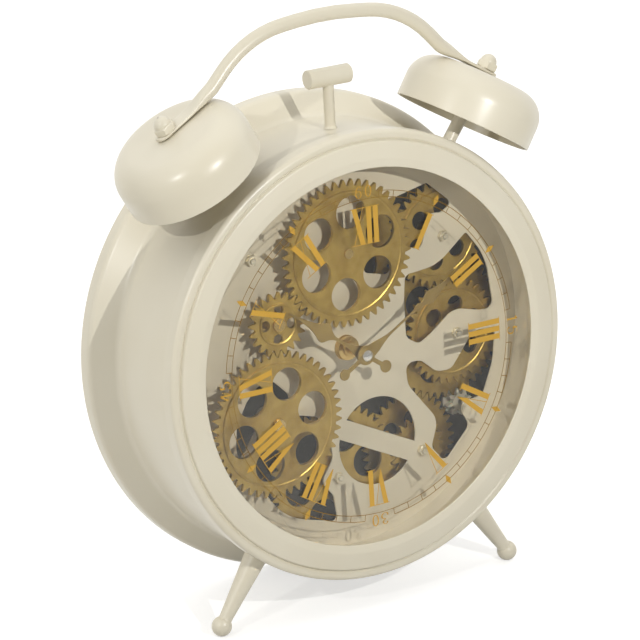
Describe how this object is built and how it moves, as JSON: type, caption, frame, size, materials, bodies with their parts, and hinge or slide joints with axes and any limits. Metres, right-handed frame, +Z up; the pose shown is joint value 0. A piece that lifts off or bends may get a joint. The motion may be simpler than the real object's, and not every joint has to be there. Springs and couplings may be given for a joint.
{
  "type": "table clock",
  "caption": "Round twin-bell table clock with a carrying handle, splayed ball-foot legs and an open gear train turning behind the crystal.",
  "frame": {"origin": "on the surface it stands on, under the middle of the clock's overall box", "axes": "+X to the right as seen from the dial side, +Y from the dial towards the back, +Z up; the clock leans back as it stands"},
  "size_m": [0.2934, 0.1184, 0.3562],
  "materials": {
    "cream_enamel": "glossy enamel",
    "dial_paint": "satin paint",
    "black_metal": "satin black",
    "gold_gear": "brushed",
    "gold_hands": "satin",
    "brass_turned": "turned",
    "steel": "bright",
    "silver_chrome": "polished",
    "clear_glass": "polished",
    "black_rubber": "matte",
    "white_nylon": "moulded",
    "black_plastic": "moulded",
    "cell_wrap": "gloss"
  },
  "bodies": {
    "case": {"drum_shell": "cream_enamel", "front_bezel": "cream_enamel", "crystal": "clear_glass", "crystal_gasket": "black_rubber", "liner_ring": "dial_paint", "dial_plate": "dial_paint", "rear_plate": "black_metal", "gear_pins": "steel", "dial_nuts": "steel", "small_gear_stud": "brass_turned", "low_gear_stud": "brass_turned", "dial_bush": "brass_turned", "rear_bush": "brass_turned", "gear_motor": "white_nylon", "motor_screws": "steel", "movement_case": "black_plastic", "movement_cell": "cell_wrap", "movement_nut": "steel", "hand_collar": "brass_turned", "back_cover": "black_metal", "cover_brackets": "black_metal", "cover_screws": "steel", "battery_box": "black_plastic", "motor_cells": "cell_wrap", "battery_contacts": "steel", "switch_housing": "black_plastic", "bell_left": "cream_enamel", "bell_right": "cream_enamel", "bell_post_left": "cream_enamel", "bell_post_right": "cream_enamel", "acorn_nut_left": "cream_enamel", "acorn_nut_right": "cream_enamel", "handle": "cream_enamel", "hammer_stem": "cream_enamel", "hammer_head": "cream_enamel", "leg_left": "cream_enamel", "leg_right": "cream_enamel", "leg_nuts": "steel"},
    "top_gears": {"top_gear": "gold_gear", "top_arbor": "steel", "top_rear_gear": "gold_gear"},
    "small_gear": {"small_gear": "gold_gear"},
    "low_gear": {"low_gear": "gold_gear"},
    "upper_right_gear": {"upper_right_gear": "gold_gear"},
    "right_gears": {"right_near_gear": "gold_gear", "right_far_gear": "gold_gear"},
    "lower_right_gears": {"lower_right_near_gear": "gold_gear", "lower_right_far_gear": "gold_gear"},
    "lower_gear": {"lower_gear": "gold_gear"},
    "motor_rotor": {"motor_pinion": "white_nylon", "motor_shaft": "steel"},
    "hour_hand": {"hour_hand": "gold_hands", "hour_tube": "brass_turned"},
    "minute_hand": {"minute_hand": "gold_hands", "minute_shaft": "steel", "hand_cap": "silver_chrome"},
    "setting_knob": {"setting_knob": "black_plastic"},
    "battery_door": {"battery_door": "black_plastic"},
    "switch_slider": {"switch_slider": "black_plastic"}
  },
  "joints": [
    {"name": "top_gears_turn", "type": "hinge", "parent": "case", "child": "top_gears", "pos_m": [-0.00165, -0.01779, 0.213], "axis": [0, 0.994, -0.1097], "continuous": true},
    {"name": "small_gear_turn", "type": "hinge", "parent": "case", "child": "small_gear", "pos_m": [-0.05214, -0.02147, 0.17966], "axis": [0, 0.994, -0.1097], "continuous": true},
    {"name": "low_gear_turn", "type": "hinge", "parent": "case", "child": "low_gear", "pos_m": [-0.05595, -0.02811, 0.11952], "axis": [0, 0.994, -0.1097], "continuous": true},
    {"name": "upper_right_gear_turn", "type": "hinge", "parent": "case", "child": "upper_right_gear", "pos_m": [0.07219, -0.00291, 0.20655], "axis": [0, 0.994, -0.1097], "continuous": true},
    {"name": "right_gears_turn", "type": "hinge", "parent": "case", "child": "right_gears", "pos_m": [0.07915, -0.00971, 0.14491], "axis": [0, 0.994, -0.1097], "continuous": true},
    {"name": "lower_right_gears_turn", "type": "hinge", "parent": "case", "child": "lower_right_gears", "pos_m": [0.05071, -0.01721, 0.07701], "axis": [0, 0.994, -0.1097], "continuous": true},
    {"name": "lower_gear_turn", "type": "hinge", "parent": "case", "child": "lower_gear", "pos_m": [-0.00976, -0.01767, 0.07281], "axis": [0, 0.994, -0.1097], "continuous": true},
    {"name": "motor_rotor_turn", "type": "hinge", "parent": "case", "child": "motor_rotor", "pos_m": [0.08867, -0.00565, 0.09516], "axis": [0, 0.994, -0.1097], "continuous": true},
    {"name": "minute_hand_turn", "type": "hinge", "parent": "case", "child": "minute_hand", "pos_m": [0, -0.0378, 0.15475], "axis": [0, 0.994, -0.1097], "continuous": true},
    {"name": "hour_hand_turn", "type": "hinge", "parent": "case", "child": "hour_hand", "pos_m": [0, -0.03542, 0.15448], "axis": [0, 0.994, -0.1097], "continuous": true},
    {"name": "setting_knob_turn", "type": "hinge", "parent": "case", "child": "setting_knob", "pos_m": [0.013, 0.02454, 0.15994], "axis": [0, 0.994, -0.1097], "continuous": true},
    {"name": "battery_door_slide", "type": "slide", "parent": "case", "child": "battery_door", "axis": [1, 0, 0], "range_m": [0, 0.04]},
    {"name": "switch_slide", "type": "slide", "parent": "case", "child": "switch_slider", "axis": [1, 0, 0], "range_m": [0, 0.004]}
  ],
  "couplings": [
    {"joint": "small_gear_turn", "follows": "top_gears_turn", "ratio": -2.4},
    {"joint": "low_gear_turn", "follows": "top_gears_turn", "ratio": 1},
    {"joint": "upper_right_gear_turn", "follows": "top_gears_turn", "ratio": -1.3714},
    {"joint": "right_gears_turn", "follows": "top_gears_turn", "ratio": 1.3714},
    {"joint": "lower_right_gears_turn", "follows": "top_gears_turn", "ratio": -1.8808},
    {"joint": "lower_gear_turn", "follows": "top_gears_turn", "ratio": 0.78367},
    {"joint": "motor_rotor_turn", "follows": "top_gears_turn", "ratio": -8.2286},
    {"joint": "hour_hand_turn", "follows": "minute_hand_turn", "ratio": 0.083333},
    {"joint": "setting_knob_turn", "follows": "minute_hand_turn", "ratio": 1}
  ]
}
